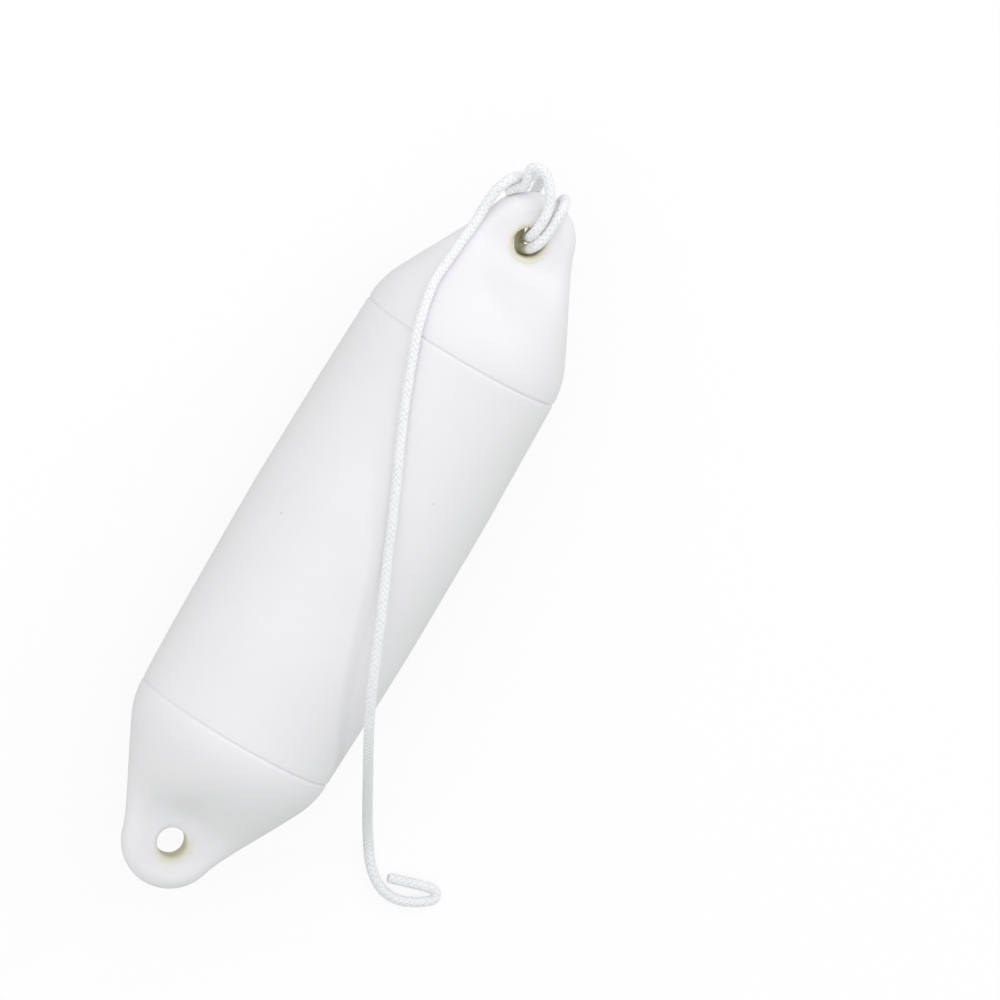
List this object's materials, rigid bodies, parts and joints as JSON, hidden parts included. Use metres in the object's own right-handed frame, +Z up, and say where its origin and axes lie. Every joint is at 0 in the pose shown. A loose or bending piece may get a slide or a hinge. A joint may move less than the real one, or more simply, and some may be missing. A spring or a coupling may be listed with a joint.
{
  "type": "boat fender",
  "caption": "Long inflated vinyl boat fender with a flat eye lug at each end, lying on its side, with a braided rope tied through the eye of one end.",
  "frame": {"origin": "on the surface the fender lies on, in the middle of the small flat under its belly", "axes": "+X along the fender towards the roped end, +Z up, +Y towards the side where the rope leaves the knot"},
  "size_m": [0.4652, 0.2275, 0.1309],
  "materials": {
    "vinyl": "white soft vinyl with a fine satin grain",
    "bush_plastic": "off-white moulded plastic",
    "seal_rubber": "black rubber washer",
    "screw_plastic": "pale grey nylon",
    "rope": "white braided rope"
  },
  "bodies": {
    "root": {"fender_body": "vinyl", "valve_bush": "bush_plastic", "valve_seal": "seal_rubber", "valve_screw": "screw_plastic", "rope_knot": "rope", "rope_run": "rope", "rope_curl": "rope"}
  },
  "joints": []
}
